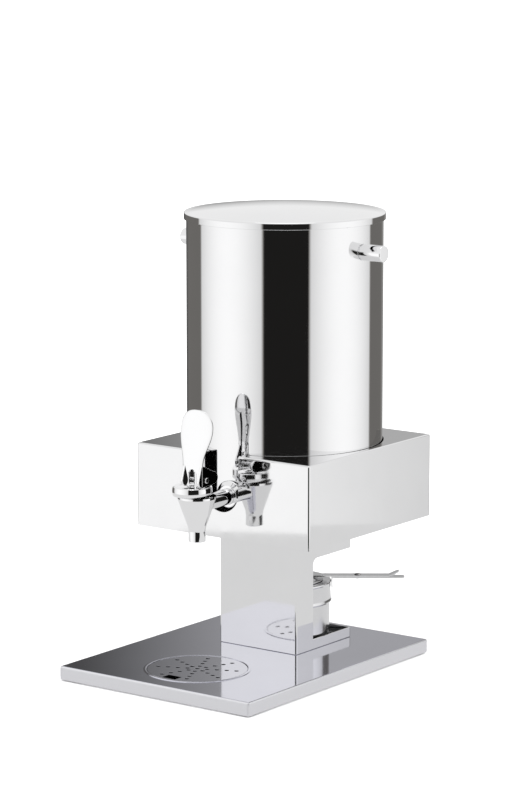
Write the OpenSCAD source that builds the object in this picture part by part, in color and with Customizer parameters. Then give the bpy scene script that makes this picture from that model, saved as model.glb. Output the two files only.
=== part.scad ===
// Hot drinks dispenser: a flat base with a drip bowl, a folded column with a fuel burner
// inside, a square housing, and a lift-out container with a lever tap.
// Origin: middle of the whole footprint, on the surface it stands on. +Z up, tap towards -Y.

/* [Base] */
// Width of the base plate
base_w = 248; // [240:2:260]
// Depth of the base plate
base_d = 326; // [320:2:336]
// Height of the base plate's top above the table
base_h = 16; // [15:0.5:18]
// Sheet thickness of the base plate
base_sheet = 1.2; // [1:0.1:1.5]

/* [Drip tray] */
// Diameter of the perforated disc
grate_d = 106; // [100:1:106]
// Depth of the drip bowl below the base plate's top
bowl_depth = 11; // [8:0.5:12]
// Diameter of the drain holes
drain_hole_d = 4.8; // [3:0.1:5.4]

/* [Column] */
// Outer width and depth of the column
column_w = 102; // [100:0.5:104]
// Sheet thickness of the column
column_sheet = 1.5; // [1.2:0.1:2]
// Width of the strip left between the column's front and its side windows
column_strip = 31; // [26:1:34]

/* [Housing] */
// Outer width and depth of the square housing
housing_w = 226; // [224:1:232]
// Height of the housing
housing_h = 90; // [88:1:94]
// Height of the housing's underside above the table
housing_z = 148.5; // [146:0.5:152]
// Half the width of the tap slot, and the radius of its round end
slot_r = 22; // [20:0.5:24]

/* [Container] */
// Outer diameter of the container
container_d = 210; // [206:1:210]
// Height of the container's rim above the table
rim_z = 481.4; // [470:0.2:490]
// Wall thickness of the container
wall = 1; // [0.8:0.1:1.2]
// Rise of the lid's dome above its edge
dome_rise = 7; // [5:1:12]
// Diameter of the two peg handles
peg_d = 17.5; // [14:0.5:20]
// Distance from the container's axis to the end of a peg handle
peg_reach = 131; // [120:0.5:136]

/* [Tap] */
// Distance from the container's axis to the tap's axis
tap_reach = 163; // [160:0.5:165]
// Distance of the tap's axis to the right of the container's axis
tap_x = 6; // [4:0.5:7]
// Height of the tap's pipe above the table
pipe_z = 193.5; // [191:0.5:195]
// Outer diameter of the pipe
pipe_d = 17; // [16:0.5:18]
// Diameter of the tap's collar
collar_d = 42; // [41:0.5:44]
// Outer diameter of the spout
spout_d = 18.2; // [17:0.2:20]
// Width of the lever's paddle
paddle_w = 42; // [36:1:44]

/* [Burner] */
// Outer diameter of the burner can
can_d = 93.5; // [88:0.5:94]
// Height of the burner's rim above the table
burner_rim_z = 82.4; // [78:0.2:86]
// Distance from the burner's axis to the end of its handle
handle_reach = 127; // [120:1:134]
// Angle of the handle from +X towards +Y
handle_angle = 36; // [34:1:40]

/* [Hidden] */
$fn = 96;
axis_y = 59.5;                       // container axis
base_y = axis_y - 69;                // middle of the base plate
column_y = axis_y + 2;               // column axis
burner_y = axis_y + 5;               // burner axis
tap_y = axis_y - tap_reach;          // tap axis, above the drip grate
grate_y = axis_y - 155.5;
skirt_gap = 1;                       // the skirt ends this far above the table
foot_d = 18;
eps = 0.01;

grate_t = 1.5;
grate_top = base_h + 0.3;
bowl_rim_r = grate_d / 2 + 3.6;
bowl_sheet = 0.8;
bowl_r = grate_d / 2 - 5;
ray_count = 8;
holes_per_ray = 4;
notch_w = 17;
notch_l = 12;
notch_at = 43.5;                     // notch's middle, from the grate's middle

window_low = 27;
window_high = 115.5;
window_corner = 7;
flange_w = 15;                       // the column's inner flanges, top and bottom
screw_at = 42;                       // column screws, from the column's axis
screw_r = 2.5;
head_r = 4.6;
head_h = 2.8;
stiffener_t = 2;
stiffener_w = 150;

housing_sheet = 1.2;
housing_top = housing_z + housing_h;
hole_r = container_d / 2 + 1.2;
heat_hole_r = 40;
seat_h = 4.5;
seat_z = housing_z + housing_sheet;

container_r = container_d / 2;
container_z = seat_z + seat_h;
lid_r = container_r + 2.5;
lid_sheet = 1;
lid_low = rim_z - 5.4;
lid_edge = rim_z + 1.6;
peg_z = 448;
peg_y = -4.8;                        // pegs' axis, from the container's axis
peg_screw_r = 2.5;

pipe_r = pipe_d / 2;
pipe_bore_r = 5;
slot_z = pipe_z + 5;                 // middle of the tap slot's round end
flange_r = 16.3;
flange_t = 5;
flange_face = container_r + 0.6;     // back of the tap flange, from the container's axis
nut_face = container_r - 5;          // face of the lock nut, from the container's axis
shank_in = container_r - 15;
shank_out = tap_reach - 12.5;
collar_low = pipe_z + 9.5;
collar_top = pipe_z + 19.5;
taper_low = pipe_z - 24;
spout_low = pipe_z - 38.5;
seat_floor = pipe_z - 9.5;
stem_r = 3;
stem_top = pipe_z + 37.3;
pivot_z = pipe_z + 27;
fork_r = 12.2;                       // outer half width of the lever's fork
fork_t = 2.2;
paddle_t = 2.6;
paddle_mid = pivot_z + 52;           // height of the paddle's widest point
paddle_low = pivot_z + 16;
pin_r = 1.5;
slot_half = 5.2;                     // half width of the stem's slot in the paddle

can_r = can_d / 2;
can_z = base_h + column_sheet + 1;
can_sheet = 0.8;
collar_z = burner_rim_z - 23;        // lower edge of the burner's upper ring
flame_r = 30;
cover_r = 39;
cover_z = burner_rim_z + 0.5;
strip_w = 12;
strip_t = 1.4;
strip_z = cover_z + 1.5;             // underside of the lower strip
pivot_reach = 76;

// Points on an arc in the plane of a profile, angles in degrees.
function arc(cx, cy, r, from, to, steps) =
    [for (i = [0:steps]) [cx + r * cos(from + (to - from) * i / steps),
                          cy + r * sin(from + (to - from) * i / steps)]];

// A cylinder from one y to another, centred on x and z.
module rod_y(r, from, to, x = 0, z = 0) {
    translate([x, from, z]) rotate([-90, 0, 0]) cylinder(r = r, h = to - from);
}

// A cylinder from one x to another, centred on y and z.
module rod_x(r, from, to, y = 0, z = 0) {
    translate([from, y, z]) rotate([0, 90, 0]) cylinder(r = r, h = to - from);
}

module ring(r_out, r_in, h) {
    difference() {
        cylinder(r = r_out, h = h);
        translate([0, 0, -1]) cylinder(r = r_in, h = h + 2);
    }
}

module corners(x, y) {
    for (sx = [-1, 1], sy = [-1, 1]) translate([sx * x, sy * y, 0]) children();
}

// A flat plate with square corners, centred on x and y.
module plate(w, d, h) {
    translate([-w / 2, -d / 2, 0]) cube([w, d, h]);
}

// ---- base ----

module base_plate() color([0.80, 0.80, 0.82]) {
    difference() {
        translate([0, base_y, skirt_gap]) plate(base_w, base_d, base_h - skirt_gap);
        translate([0, base_y, -1])
            plate(base_w - 2 * base_sheet, base_d - 2 * base_sheet, base_h - base_sheet + 1);
        translate([0, grate_y, 0]) cylinder(r = grate_d / 2 + 1.5, h = base_h + 1);
        translate([0, column_y, 0]) corners(screw_at, screw_at) cylinder(r = screw_r, h = base_h + 1);
    }
}

module base_stiffener() color([0.62, 0.62, 0.64]) {
    translate([0, column_y, base_h - base_sheet - stiffener_t]) difference() {
        plate(stiffener_w, stiffener_w, stiffener_t);
        translate([0, 0, -1]) corners(screw_at, screw_at) cylinder(r = screw_r, h = stiffener_t + 2);
    }
}

module rubber_feet() color([0.08, 0.08, 0.08]) {
    translate([0, base_y, 0]) corners(base_w / 2 - 16, base_d / 2 - 16)
        cylinder(r1 = foot_d / 2 - 1, r2 = foot_d / 2, h = base_h - base_sheet);
}

// ---- drip tray ----

// A drawn bowl whose flat rim lies on the base plate and carries the grate in a step.
module drip_bowl() color([0.84, 0.84, 0.85]) {
    step = grate_top - grate_t;
    translate([0, grate_y, 0]) rotate_extrude() polygon([
        [0, base_h - bowl_depth], [bowl_r - 3, base_h - bowl_depth],
        [bowl_r, base_h - bowl_depth + 3], [bowl_r, step - bowl_sheet],
        [grate_d / 2 + 1.1, step - bowl_sheet], [grate_d / 2 + 1.1, base_h],
        [bowl_rim_r, base_h], [bowl_rim_r, base_h + 0.4],
        [bowl_rim_r - 0.4, base_h + bowl_sheet], [grate_d / 2 + 0.7, base_h + bowl_sheet],
        [grate_d / 2 + 0.3, base_h + bowl_sheet - 0.4], [grate_d / 2 + 0.3, step],
        [bowl_r - bowl_sheet, step], [bowl_r - bowl_sheet, base_h - bowl_depth + 3.4],
        [bowl_r - 3.4, base_h - bowl_depth + bowl_sheet], [0, base_h - bowl_depth + bowl_sheet]]);
}

module drip_grate() color([0.86, 0.86, 0.87]) {
    translate([0, grate_y, grate_top - grate_t]) difference() {
        cylinder(r = grate_d / 2, h = grate_t);
        translate([0, 0, -1]) {
            cylinder(r = drain_hole_d / 2, h = grate_t + 2, $fn = 24);
            for (ray = [0:ray_count - 1], i = [1:holes_per_ray])
                rotate([0, 0, (ray + 0.5) * 360 / ray_count])
                    translate([i * grate_d * 0.1, 0, 0])
                        cylinder(r = drain_hole_d / 2, h = grate_t + 2, $fn = 24);
            translate([-notch_w / 2, -notch_at - notch_l / 2, 0])
                cube([notch_w, notch_l, grate_t + 2]);
        }
    }
}

// ---- column ----

// A folded square tube, open to the sides and the back from the strip backwards.
module column() color([0.85, 0.85, 0.87]) {
    in = column_w - 2 * column_sheet;
    strip_y = -column_w / 2 + column_strip;
    translate([0, column_y, 0]) difference() {
        translate([0, 0, base_h]) plate(column_w, column_w, housing_z - base_h);
        translate([0, 0, base_h + column_sheet])
            plate(in, in, housing_z - base_h - 2 * column_sheet);
        translate([0, 0, base_h - 1])
            plate(in - 2 * flange_w, in - 2 * flange_w, housing_z - base_h + 2);
        translate([-column_w, strip_y, window_low])
            cube([2 * column_w, column_w, window_high - window_corner - window_low]);
        translate([-column_w, strip_y + window_corner, window_low])
            cube([2 * column_w, column_w, window_high - window_low]);
        rod_x(window_corner, -column_w, column_w, strip_y + window_corner,
            window_high - window_corner);
        translate([0, 0, base_h - 1]) corners(screw_at, screw_at) cylinder(r = screw_r, h = 4);
        translate([0, 0, housing_z - 3]) corners(screw_at, screw_at) cylinder(r = screw_r, h = 4);
    }
}

module screw(length) {
    cylinder(r = head_r, h = head_h);
    cylinder(r = screw_r, h = head_h + length);
}

module hex_nut(r_in, flats, h) {
    difference() {
        cylinder(r = flats / sqrt(3), h = h, $fn = 6);
        translate([0, 0, -1]) cylinder(r = r_in, h = h + 2);
    }
}

module column_screws() color([0.7, 0.7, 0.72]) {
    low = base_h - base_sheet - stiffener_t - head_h;
    translate([0, column_y, low]) corners(screw_at, screw_at) screw(9.6);
}

module column_nuts() color([0.7, 0.7, 0.72]) {
    translate([0, column_y, base_h + column_sheet])
        corners(screw_at, screw_at) hex_nut(screw_r, 8, 4);
}

module burner_dish() color([0.72, 0.72, 0.74]) {
    translate([0, column_y, base_h + column_sheet]) {
        cylinder(r = can_r + 2, h = 1);
        ring(can_r + 2, can_r + 1.2, 3);
    }
}

// ---- housing ----

module tap_slot(from, to) {
    rod_y(slot_r, from, to, 0, slot_z);
    translate([-slot_r, from, slot_z]) cube([2 * slot_r, to - from, housing_top - slot_z + 1]);
}

module housing_shell() color([0.87, 0.87, 0.89]) {
    in = housing_w - 2 * housing_sheet;
    translate([0, axis_y, 0]) difference() {
        translate([0, 0, housing_z]) plate(housing_w, housing_w, housing_h);
        translate([0, 0, housing_z - 1]) plate(in, in, housing_h - housing_sheet + 1);
        translate([0, 0, housing_top - 5]) cylinder(r = hole_r, h = 10);
        tap_slot(-housing_w / 2 - 1, -container_r + 3);
    }
}

module housing_floor() color([0.82, 0.82, 0.84]) {
    in = housing_w - 2 * housing_sheet;
    translate([0, axis_y, housing_z]) difference() {
        plate(in, in, housing_sheet);
        translate([0, 0, -1]) cylinder(r = heat_hole_r, h = housing_sheet + 2);
        translate([0, column_y - axis_y, -1])
            corners(screw_at, screw_at) cylinder(r = screw_r, h = housing_sheet + 2);
    }
}

module housing_screws() color([0.7, 0.7, 0.72]) {
    translate([0, column_y, seat_z + head_h])
        corners(screw_at, screw_at) mirror([0, 0, 1]) screw(7.5);
}

module housing_nuts() color([0.7, 0.7, 0.72]) {
    translate([0, column_y, housing_z - column_sheet - 4])
        corners(screw_at, screw_at) hex_nut(screw_r, 8, 4);
}

// The ring that the container stands on.
module seat_ring() color([0.78, 0.78, 0.8]) {
    translate([0, axis_y, seat_z]) ring(container_r - 8, container_r - 18, seat_h);
}

// ---- container and lid ----

module container_shell() color([0.9, 0.9, 0.91]) {
    r = container_r;
    corner = 5;
    translate([0, axis_y, 0]) difference() {
        rotate_extrude($fn = 180) polygon(concat(
            [[0, container_z]],
            arc(r - corner, container_z + corner, corner, -90, 0, 6),
            arc(r - 1, rim_z - 1, 1, 0, 90, 4),
            arc(r - 2.2, rim_z - 1, 1, 90, 180, 4),
            [[r - 3.2, rim_z - 2.6], [r - wall, rim_z - 5]],
            arc(r - corner, container_z + corner, corner - wall, 0, -90, 6),
            [[0, container_z + wall]]));
        rod_y(pipe_r, -r - 1, -r + 5, tap_x, pipe_z);
        rod_x(peg_screw_r, -r - 1, -r + 5, peg_y, peg_z);
        rod_x(peg_screw_r, r - 5, r + 1, peg_y, peg_z);
    }
}

// Height of the dome over its edge at a distance from the axis.
dome_sphere = (lid_r * lid_r + dome_rise * dome_rise) / (2 * dome_rise);
function dome(x) = sqrt(dome_sphere * dome_sphere - x * x) - (dome_sphere - dome_rise);

module lid() color([0.9, 0.9, 0.92]) {
    steps = 14;
    edge = 1.2;
    top = [for (i = [0:steps]) let (x = (lid_r - edge) * i / steps) [x, lid_edge + dome(x)]];
    inside = [for (i = [0:steps]) let (x = (lid_r - 2.2) * (1 - i / steps))
        [x, lid_edge - lid_sheet - 0.2 + dome(x)]];
    translate([0, axis_y, 0]) rotate_extrude($fn = 180) polygon(concat(top,
        arc(lid_r - edge, lid_edge - edge + dome(lid_r - edge), edge, 70, 0, 3),
        [[lid_r, lid_low + 0.3], [lid_r - 0.3, lid_low], [lid_r - 0.7, lid_low],
         [lid_r - lid_sheet, lid_low + 0.3], [lid_r - lid_sheet, lid_edge - 1.2]],
        inside));
}

// A locating ring welded inside the lid.
module lid_ring() color([0.82, 0.82, 0.84]) {
    r = container_r - 4.2;
    translate([0, axis_y, rim_z - 12])
        ring(r, r - 0.8, lid_edge - lid_sheet - 0.2 + dome(r) - (rim_z - 12));
}

// ---- peg handles ----

// A round peg along +X, saddled on the container's wall, with a blind screw hole.
module peg() {
    r = peg_d / 2;
    edge = 0.8;
    difference() {
        translate([container_r - 2, peg_y, peg_z]) rotate([0, 90, 0]) rotate_extrude() polygon(concat(
            [[0, 0], [r, 0]],
            arc(r - edge, peg_reach - container_r + 2 - edge, edge, 0, 90, 4),
            [[0, peg_reach - container_r + 2]]));
        translate([0, 0, peg_z - 2 * r]) cylinder(r = container_r, h = 4 * r, $fn = 180);
        rod_x(peg_screw_r, container_r - 5, container_r + 14, peg_y, peg_z);
    }
}

module right_handle() color([0.88, 0.88, 0.9]) {
    translate([0, axis_y, 0]) peg();
}

module left_handle() color([0.88, 0.88, 0.9]) {
    translate([0, axis_y, 0]) mirror([1, 0, 0]) peg();
}

module both_sides() {
    for (side = [0, 1]) translate([0, axis_y, 0]) mirror([side, 0, 0]) children();
}

module handle_screws() color([0.7, 0.7, 0.72]) {
    face = container_r - 3;
    both_sides() {
        rod_x(peg_screw_r, face - 1, container_r + 13, peg_y, peg_z);
        rod_x(head_r, face - head_h, face, peg_y, peg_z);
    }
}

// Washers saddled on the inside of the container's wall.
module handle_washers() color([0.15, 0.15, 0.15]) {
    both_sides() difference() {
        intersection() {
            rod_x(6, container_r - 3, container_r, peg_y, peg_z);
            translate([0, 0, peg_z - 8]) cylinder(r = container_r - wall, h = 16, $fn = 180);
        }
        rod_x(peg_screw_r, container_r - 6, container_r + 1, peg_y, peg_z);
    }
}

// ---- tap ----

module tap_shank() color([0.85, 0.85, 0.87]) {
    translate([0, axis_y, 0]) difference() {
        rod_y(pipe_r, -shank_out, -shank_in, tap_x, pipe_z);
        rod_y(pipe_bore_r, -shank_out - 1, -shank_in + 1, tap_x, pipe_z);
    }
}

module tap_flange() color([0.88, 0.88, 0.9]) {
    translate([tap_x, axis_y - flange_face, pipe_z]) rotate([90, 0, 0]) rotate_extrude() polygon(concat(
        [[pipe_r, 0], [flange_r, 0]],
        arc(flange_r - 2, 2, 2, 0, 60, 4),
        [[pipe_r + 3, flange_t], [pipe_r, flange_t]]));
}

module outer_gasket() color([0.12, 0.12, 0.12]) {
    translate([0, axis_y, 0]) difference() {
        rod_y(flange_r - 2, -flange_face, -container_r + 4, tap_x, pipe_z);
        translate([0, 0, pipe_z - 20]) cylinder(r = container_r + 0.02, h = 40, $fn = 180);
        rod_y(pipe_r, -flange_face - 1, -container_r + 5, tap_x, pipe_z);
    }
}

module inner_gasket() color([0.12, 0.12, 0.12]) {
    translate([0, axis_y, 0]) difference() {
        intersection() {
            rod_y(14, -container_r, -nut_face, tap_x, pipe_z);
            translate([0, 0, pipe_z - 20]) cylinder(r = container_r - wall, h = 40, $fn = 180);
        }
        rod_y(pipe_r, -container_r - 1, -nut_face + 1, tap_x, pipe_z);
    }
}

module shank_nut() color([0.75, 0.75, 0.77]) {
    translate([tap_x, axis_y - nut_face, pipe_z]) rotate([-90, 0, 0]) hex_nut(pipe_r, 24, 6);
}

// The cone shaped body: a valve chamber above, the spout below, a socket for the pipe.
module tap_body() color([0.88, 0.88, 0.9]) {
    r = collar_d / 2 - 0.6;
    s = spout_d / 2;
    difference() {
        translate([tap_x, tap_y, 0]) rotate_extrude() polygon([
            [6, spout_low], [s - 0.5, spout_low], [s, spout_low + 0.5], [s, taper_low],
            [r, collar_low], [17.5, collar_low], [11.5, seat_floor], [6, seat_floor]]);
        rod_y(pipe_r, tap_y + 12.5, tap_y + 40, tap_x, pipe_z);
    }
}

// The screwed cap: the wide collar, a plug that closes the chamber, a guide for the stem.
module tap_bonnet() color([0.88, 0.88, 0.9]) {
    r = collar_d / 2;
    translate([tap_x, tap_y, 0]) rotate_extrude() polygon(concat(
        [[stem_r + 0.08, collar_top - 3.5], [8.5, collar_top - 3.5], [8.5, collar_low],
         [r, collar_low]],
        arc(r - 1, collar_top - 1, 1, 0, 90, 4),
        [[stem_r + 0.08, collar_top]]));
}

module valve_stem() color([0.8, 0.8, 0.82]) {
    difference() {
        translate([tap_x, tap_y, 0]) {
            translate([0, 0, seat_floor + 3]) cylinder(r = stem_r, h = stem_top - seat_floor - 3);
            translate([0, 0, stem_top - 2]) cylinder(r = stem_r + 1, h = 2);
            translate([0, 0, seat_floor + 3]) cylinder(r = stem_r + 1.6, h = 2);
        }
        rod_x(pin_r + 0.06, tap_x - stem_r - 1, tap_x + stem_r + 1, tap_y, pivot_z);
    }
}

// The soft cup that closes the spout. It grips the button at the stem's lower end.
module seat_cup() color([0.85, 0.84, 0.8]) {
    translate([tap_x, tap_y, 0]) rotate_extrude() polygon([
        [0, seat_floor], [9, seat_floor], [9, seat_floor + 3.5], [7.5, seat_floor + 9],
        [stem_r, seat_floor + 9], [stem_r, seat_floor + 5], [stem_r + 1.6, seat_floor + 5],
        [stem_r + 1.6, seat_floor + 3], [0, seat_floor + 3]]);
}

// Compression spring between the seat cup and the bonnet.
spring_low = seat_floor + 9;
spring_high = collar_top - 3.5;
spring_turns = 4;
spring_steps = 14;
spring_sides = 6;
spring_r = 6;
spring_wire = 0.7;
function spring_z(k) = let (low = spring_low + spring_wire, high = spring_high - spring_wire)
    low + (high - low) * k / (spring_turns * spring_steps);

module valve_spring() color([0.7, 0.7, 0.72]) {
    last = spring_turns * spring_steps;
    points = [for (k = [0:last], s = [0:spring_sides - 1])
        let (turn = 360 * k / spring_steps, side = 360 * s / spring_sides,
             r = spring_r + spring_wire * cos(side))
        [tap_x + r * cos(turn), tap_y + r * sin(turn), spring_z(k) + spring_wire * sin(side)]];
    sides = [for (k = [0:last - 1], s = [0:spring_sides - 1])
        let (a = k * spring_sides + s, b = k * spring_sides + (s + 1) % spring_sides)
        each [[a, a + spring_sides, b], [b, a + spring_sides, b + spring_sides]]];
    first = [for (s = [0:spring_sides - 1]) s];
    end = [for (s = [spring_sides - 1:-1:0]) last * spring_sides + s];
    polyhedron(points = points, faces = concat(sides, [first, end]));
}

// Half width of the paddle at a height, round above its widest point, waisted below it.
paddle_r = paddle_w / 2;
function paddle_half(z) = z >= paddle_mid
    ? sqrt(max(0, paddle_r * paddle_r - (z - paddle_mid) * (z - paddle_mid)))
    : fork_r + (paddle_r - fork_r) * (0.5 + 0.5 * cos(180 * (paddle_mid - z) / (paddle_mid - paddle_low)));

// Lean of the paddle from the tap's axis at a height: back in the middle, a curl at the top.
function paddle_lean(z) = -6.2 + 7.6 * (0.5 - 0.5 * cos(180 * min(1, max(0, (z - paddle_low) / 46))));

module paddle() {
    top = paddle_mid + paddle_r;
    side = concat(
        [for (i = [0:10]) let (z = pivot_z - 5.5 + (paddle_mid - pivot_z + 5.5) * i / 10)
            [paddle_half(max(z, paddle_low)), z]],
        [for (a = [15:15:90]) [paddle_r * cos(a), paddle_mid + paddle_r * sin(a)]]);
    other = [for (i = [len(side) - 2:-1:0]) [-side[i][0], side[i][1]]];
    zs = [for (i = [0:14]) pivot_z - 5.5 + (top + 1 - pivot_z + 5.5) * i / 14];
    intersection() {
        translate([0, tap_y + 20, 0]) rotate([90, 0, 0])
            linear_extrude(40) polygon(concat(side, other));
        translate([-paddle_w, tap_y, 0]) rotate([90, 0, 90]) linear_extrude(2 * paddle_w)
            polygon(concat([for (z = zs) [paddle_lean(z) + paddle_t / 2, z]],
                [for (i = [len(zs) - 1:-1:0]) [paddle_lean(zs[i]) - paddle_t / 2, zs[i]]]));
    }
}

// One cheek of the fork: a rounded cam with a heel towards the container.
module cheek() {
    rotate([90, 0, 90]) linear_extrude(fork_t) hull() {
        translate([-6, -1]) circle(r = 6.2, $fn = 32);
        translate([14, 0.6]) circle(r = 6.4, $fn = 32);
        translate([-5.6, 14]) circle(r = 1.9, $fn = 32);
    }
}

module lever() color([0.92, 0.92, 0.93]) {
    translate([tap_x, 0, 0]) difference() {
        union() {
            paddle();
            for (x = [-fork_r, fork_r - fork_t]) translate([x, tap_y, pivot_z]) cheek();
        }
        rod_x(pin_r, -fork_r - 1, fork_r + 1, tap_y, pivot_z);
        translate([-fork_r + fork_t, tap_y - 4.9, pivot_z - 9])
            cube([2 * (fork_r - fork_t), 40, 24]);
        translate([-slot_half, tap_y - 15, pivot_z - 9]) cube([2 * slot_half, 15, 15.5]);
        rod_y(slot_half, tap_y - 15, tap_y, 0, pivot_z + 6.5);
    }
}

module lever_pin() color([0.75, 0.75, 0.77]) {
    translate([tap_x, 0, 0]) {
        rod_x(pin_r, -fork_r - 1, fork_r + 1, tap_y, pivot_z);
        rod_x(3, fork_r, fork_r + 1.4, tap_y, pivot_z);
        rod_x(3, -fork_r - 1.4, -fork_r, tap_y, pivot_z);
    }
}

// ---- burner ----

module at_burner() {
    translate([0, burner_y, 0]) children();
}

module along_handle() {
    at_burner() rotate([0, 0, handle_angle]) children();
}

module burner_can() color([0.8, 0.8, 0.82]) {
    r = can_r - 0.9;
    corner = 8;
    high = burner_rim_z - 2;
    at_burner() rotate_extrude() polygon(concat(
        [[0, can_z]],
        arc(r - corner, can_z + corner, corner, -90, 0, 6),
        [[r, high], [r - can_sheet, high]],
        arc(r - corner, can_z + corner, corner - can_sheet, 0, -90, 6),
        [[0, can_z + can_sheet]]));
}

// The absorbent pad that holds the fuel.
module fuel_pad() color([0.86, 0.83, 0.74]) {
    at_burner() translate([0, 0, can_z + can_sheet]) rotate_extrude() polygon(concat(
        [[0, 0]],
        arc(can_r - 10.4, 8, 8, -90, 0, 4),
        [[can_r - 2.4, 30], [0, 30]]));
}

// The upper ring: a sleeve over the can, a bead at its foot, a flat top round the flame.
module burner_ring() color([0.82, 0.82, 0.84]) {
    r = can_r - 0.9;
    at_burner() rotate_extrude() polygon([
        [r, collar_z], [can_r + 1, collar_z], [can_r + 1.6, collar_z + 1.6],
        [can_r + 0.9, collar_z + 4], [can_r + 0.3, burner_rim_z - 12],
        [can_r + 0.3, burner_rim_z - 3], [can_r + 0.8, burner_rim_z - 1.6],
        [can_r + 0.3, burner_rim_z],
        [flame_r, burner_rim_z], [flame_r, burner_rim_z - 1.6],
        [flame_r + 1, burner_rim_z - 1.6], [flame_r + 1, burner_rim_z - 1],
        [r - 0.2, burner_rim_z - 1], [r, burner_rim_z - 2]]);
}

// The fixed strip: a tab down the ring's side, then straight out to the handle's end.
module burner_handle() color([0.78, 0.78, 0.8]) {
    side = can_r + 0.9;
    along_handle() difference() {
        union() {
            translate([side, -strip_w / 2, strip_z]) cube([handle_reach - side, strip_w, strip_t]);
            translate([side, -strip_w / 2, strip_z - 10]) cube([strip_t, strip_w, 10 + strip_t]);
            translate([can_r - 1, -strip_w / 2, strip_z - 10]) cube([3, strip_w, 4]);
        }
        translate([0, 0, strip_z - 12]) cylinder(r = can_r + 0.3, h = 8);
        translate([pivot_reach, 0, strip_z - 1]) cylinder(r = 2, h = strip_t + 2);
    }
}

module burner_cover() color([0.84, 0.84, 0.86]) {
    at_burner() translate([0, 0, cover_z]) rotate_extrude() polygon([
        [0, 1.9], [27.6, 1.9], [33.6, 0], [cover_r - 0.4, 0], [cover_r, 0.4],
        [cover_r, 0.8], [cover_r - 0.4, 1.2], [34, 1.2], [28, 3.1], [0, 3.1]]);
}

// The turning strip: riveted to the cover, over the fixed strip, with an upturned end.
module cover_lever() color([0.84, 0.84, 0.86]) {
    low = strip_z + strip_t + 0.2;
    bend = handle_reach - 17;
    along_handle() difference() {
        rotate([90, 0, 0]) translate([0, 0, -strip_w / 2]) linear_extrude(strip_w) polygon([
            [18, low], [bend, low],
            [bend + 11, low + 5], [bend + 10.4, low + 6.3], [bend - 0.6, low + strip_t],
            [18, low + strip_t]]);
        translate([pivot_reach, 0, low - 1]) cylinder(r = 2.06, h = strip_t + 2);
        translate([24, 0, cover_z]) cylinder(r = 2, h = 6);
    }
}

module cover_rivet() color([0.7, 0.7, 0.72]) {
    along_handle() translate([24, 0, cover_z + 3.1]) {
        cylinder(r = 2, h = strip_t);
        translate([0, 0, strip_t]) cylinder(r1 = 3.4, r2 = 2.2, h = 1.4);
    }
}

module pivot_rivet() color([0.7, 0.7, 0.72]) {
    along_handle() translate([pivot_reach, 0, strip_z]) {
        translate([0, 0, -1.2]) cylinder(r1 = 2.4, r2 = 3.6, h = 1.2);
        translate([0, 0, -0.5]) cylinder(r = 2, h = 2 * strip_t + 1);
        translate([0, 0, 2 * strip_t + 0.2]) cylinder(r1 = 3.6, r2 = 2.4, h = 1.4);
    }
}

base_plate();
base_stiffener();
rubber_feet();
drip_bowl();
drip_grate();
column();
column_screws();
column_nuts();
burner_dish();
housing_shell();
housing_floor();
housing_screws();
housing_nuts();
seat_ring();
container_shell();
lid();
lid_ring();
left_handle();
right_handle();
handle_screws();
handle_washers();
tap_shank();
tap_flange();
outer_gasket();
inner_gasket();
shank_nut();
tap_body();
tap_bonnet();
valve_stem();
seat_cup();
valve_spring();
lever();
lever_pin();
burner_can();
fuel_pad();
burner_ring();
burner_handle();
burner_cover();
cover_lever();
cover_rivet();
pivot_rivet();
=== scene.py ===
"""Looks for the hot drinks dispenser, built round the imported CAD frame."""
import math

import bmesh
import bpy
from mathutils import Matrix, Vector


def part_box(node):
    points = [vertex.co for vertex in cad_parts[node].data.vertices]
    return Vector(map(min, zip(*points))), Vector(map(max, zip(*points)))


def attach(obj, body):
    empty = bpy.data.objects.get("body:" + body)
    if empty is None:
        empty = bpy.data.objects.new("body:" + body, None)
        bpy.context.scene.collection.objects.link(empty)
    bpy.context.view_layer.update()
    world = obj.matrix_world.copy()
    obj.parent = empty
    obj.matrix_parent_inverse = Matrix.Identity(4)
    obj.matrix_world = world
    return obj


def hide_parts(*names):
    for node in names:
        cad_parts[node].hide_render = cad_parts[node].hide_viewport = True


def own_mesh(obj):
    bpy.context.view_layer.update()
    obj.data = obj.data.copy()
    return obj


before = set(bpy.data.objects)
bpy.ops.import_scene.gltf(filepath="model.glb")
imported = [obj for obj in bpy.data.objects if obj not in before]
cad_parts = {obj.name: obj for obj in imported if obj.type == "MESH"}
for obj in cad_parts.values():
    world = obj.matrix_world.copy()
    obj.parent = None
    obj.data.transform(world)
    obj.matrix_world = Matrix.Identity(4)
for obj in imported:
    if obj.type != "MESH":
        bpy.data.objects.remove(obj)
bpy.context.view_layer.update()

MM = 0.001
scene = bpy.context.scene
scene.view_settings.view_transform = "Standard"
scene.view_settings.look = "None"


# ---------------------------------------------------------------- places from the frame

def lo(node):
    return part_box(node)[0] / MM


def hi(node):
    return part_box(node)[1] / MM


def mid(node):
    return (lo(node) + hi(node)) / 2


axis_y = mid("container_shell").y
tap_x, tap_y = mid("tap_bonnet").x, mid("tap_bonnet").y
grate_y = mid("drip_grate").y
burner_y = mid("burner_cover").y
base_top = hi("base_plate").z
container_r = (hi("container_shell").x - lo("container_shell").x) / 2
rim_z = hi("container_shell").z
pipe_z = mid("tap_shank").z

# ---------------------------------------------------------------- camera

CAMERA_AT = Vector((2014.3, axis_y - 2776.5, 886.4)) * MM
LOOKING = Vector((-0.58304, 0.79357, -0.17412))
camera_data = bpy.data.cameras.new("camera")
camera_data.lens = 146.25
camera_data.sensor_width = 36
camera_data.clip_end = 200
camera = bpy.data.objects.new("camera", camera_data)
scene.collection.objects.link(camera)
camera.location = CAMERA_AT
camera.rotation_mode = "QUATERNION"
camera.rotation_quaternion = LOOKING.to_track_quat("-Z", "Y")
scene.camera = camera


# ---------------------------------------------------------------- mesh helpers

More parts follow.
